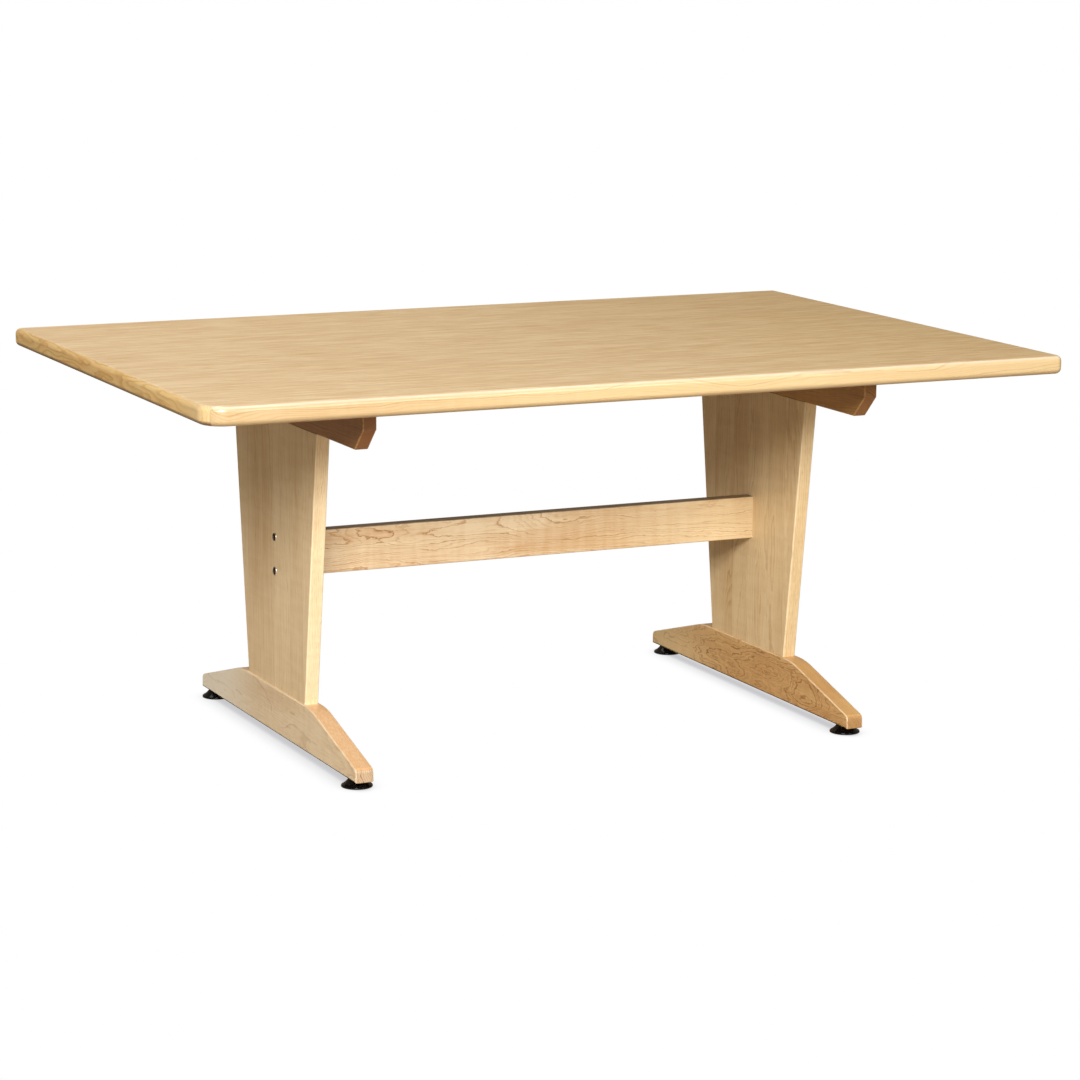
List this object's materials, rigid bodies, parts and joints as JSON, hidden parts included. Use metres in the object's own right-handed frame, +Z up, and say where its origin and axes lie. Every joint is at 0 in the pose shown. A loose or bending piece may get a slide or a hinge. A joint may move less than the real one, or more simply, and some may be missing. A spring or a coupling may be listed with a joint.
{
  "type": "communion table",
  "caption": "Long rectangular table: wood-grain laminate top with rounded maple edging, tapered T-shaped maple legs joined by a stretcher, black levelling glides.",
  "frame": {"origin": "on the floor, under the middle of the table top", "axes": "+X along the table to the right, +Y across it to the back, +Z up"},
  "size_m": [1.829, 1.219, 0.792],
  "materials": {
    "laminate": "satin wood-grain laminate",
    "maple_edging": "clear lacquered maple",
    "maple_upright": "clear lacquered maple, edge-glued",
    "maple_foot": "clear lacquered maple",
    "maple_cleat": "clear lacquered maple",
    "maple_stretcher": "clear lacquered maple",
    "particleboard": "raw particleboard",
    "backer_sheet": "matt brown backer",
    "dowel_wood": "raw hardwood",
    "plated_steel": "zinc plated",
    "dark_steel": "black oxide",
    "insert_brass": "plain",
    "black_plastic": "glossy moulded"
  },
  "bodies": {
    "table": {"top_laminate": "laminate", "top_core": "particleboard", "top_backer": "backer_sheet", "top_edging_front": "maple_edging", "top_edging_back": "maple_edging", "top_edging_left": "maple_edging", "top_edging_right": "maple_edging", "stretcher": "maple_stretcher", "upright_left": "maple_upright", "foot_left": "maple_foot", "cleat_left": "maple_cleat", "foot_dowel_left_1": "dowel_wood", "foot_dowel_left_2": "dowel_wood", "foot_dowel_left_3": "dowel_wood", "cleat_dowel_left_1": "dowel_wood", "cleat_dowel_left_2": "dowel_wood", "cleat_dowel_left_3": "dowel_wood", "cleat_screw_left_1": "plated_steel", "cleat_screw_left_2": "plated_steel", "cleat_screw_left_3": "plated_steel", "cleat_screw_left_4": "plated_steel", "connector_bolt_left_lower": "dark_steel", "barrel_nut_left_lower": "plated_steel", "connector_bolt_left_upper": "dark_steel", "barrel_nut_left_upper": "plated_steel", "glide_insert_left_front": "insert_brass", "glide_insert_left_back": "insert_brass", "upright_right": "maple_upright", "foot_right": "maple_foot", "cleat_right": "maple_cleat", "foot_dowel_right_1": "dowel_wood", "foot_dowel_right_2": "dowel_wood", "foot_dowel_right_3": "dowel_wood", "cleat_dowel_right_1": "dowel_wood", "cleat_dowel_right_2": "dowel_wood", "cleat_dowel_right_3": "dowel_wood", "cleat_screw_right_1": "plated_steel", "cleat_screw_right_2": "plated_steel", "cleat_screw_right_3": "plated_steel", "cleat_screw_right_4": "plated_steel", "connector_bolt_right_lower": "dark_steel", "barrel_nut_right_lower": "plated_steel", "connector_bolt_right_upper": "dark_steel", "barrel_nut_right_upper": "plated_steel", "glide_insert_right_front": "insert_brass", "glide_insert_right_back": "insert_brass"},
    "pad_left_front": {"glide_pad_left_front": "black_plastic"},
    "stem_left_front": {"glide_stem_left_front": "plated_steel"},
    "pad_left_back": {"glide_pad_left_back": "black_plastic"},
    "stem_left_back": {"glide_stem_left_back": "plated_steel"},
    "pad_right_front": {"glide_pad_right_front": "black_plastic"},
    "stem_right_front": {"glide_stem_right_front": "plated_steel"},
    "pad_right_back": {"glide_pad_right_back": "black_plastic"},
    "stem_right_back": {"glide_stem_right_back": "plated_steel"}
  },
  "joints": [
    {"name": "glide_height_left_front", "type": "slide", "parent": "table", "child": "pad_left_front", "axis": [0, 0, 1], "range_m": [-0.012, 0]},
    {"name": "glide_turn_left_front", "type": "hinge", "parent": "pad_left_front", "child": "stem_left_front", "pos_m": [-0.543, -0.405, 0.02], "axis": [0, 0, 1], "range_deg": [-3456, 0]},
    {"name": "glide_height_left_back", "type": "slide", "parent": "table", "child": "pad_left_back", "axis": [0, 0, 1], "range_m": [-0.012, 0]},
    {"name": "glide_turn_left_back", "type": "hinge", "parent": "pad_left_back", "child": "stem_left_back", "pos_m": [-0.543, 0.405, 0.02], "axis": [0, 0, 1], "range_deg": [-3456, 0]},
    {"name": "glide_height_right_front", "type": "slide", "parent": "table", "child": "pad_right_front", "axis": [0, 0, 1], "range_m": [-0.012, 0]},
    {"name": "glide_turn_right_front", "type": "hinge", "parent": "pad_right_front", "child": "stem_right_front", "pos_m": [0.543, -0.405, 0.02], "axis": [0, 0, 1], "range_deg": [-3456, 0]},
    {"name": "glide_height_right_back", "type": "slide", "parent": "table", "child": "pad_right_back", "axis": [0, 0, 1], "range_m": [-0.012, 0]},
    {"name": "glide_turn_right_back", "type": "hinge", "parent": "pad_right_back", "child": "stem_right_back", "pos_m": [0.543, 0.405, 0.02], "axis": [0, 0, 1], "range_deg": [-3456, 0]}
  ],
  "couplings": [
    {"joint": "glide_turn_left_front", "follows": "glide_height_left_front", "rad_per_m": 5026.5},
    {"joint": "glide_turn_left_back", "follows": "glide_height_left_back", "rad_per_m": 5026.5},
    {"joint": "glide_turn_right_front", "follows": "glide_height_right_front", "rad_per_m": 5026.5},
    {"joint": "glide_turn_right_back", "follows": "glide_height_right_back", "rad_per_m": 5026.5}
  ]
}
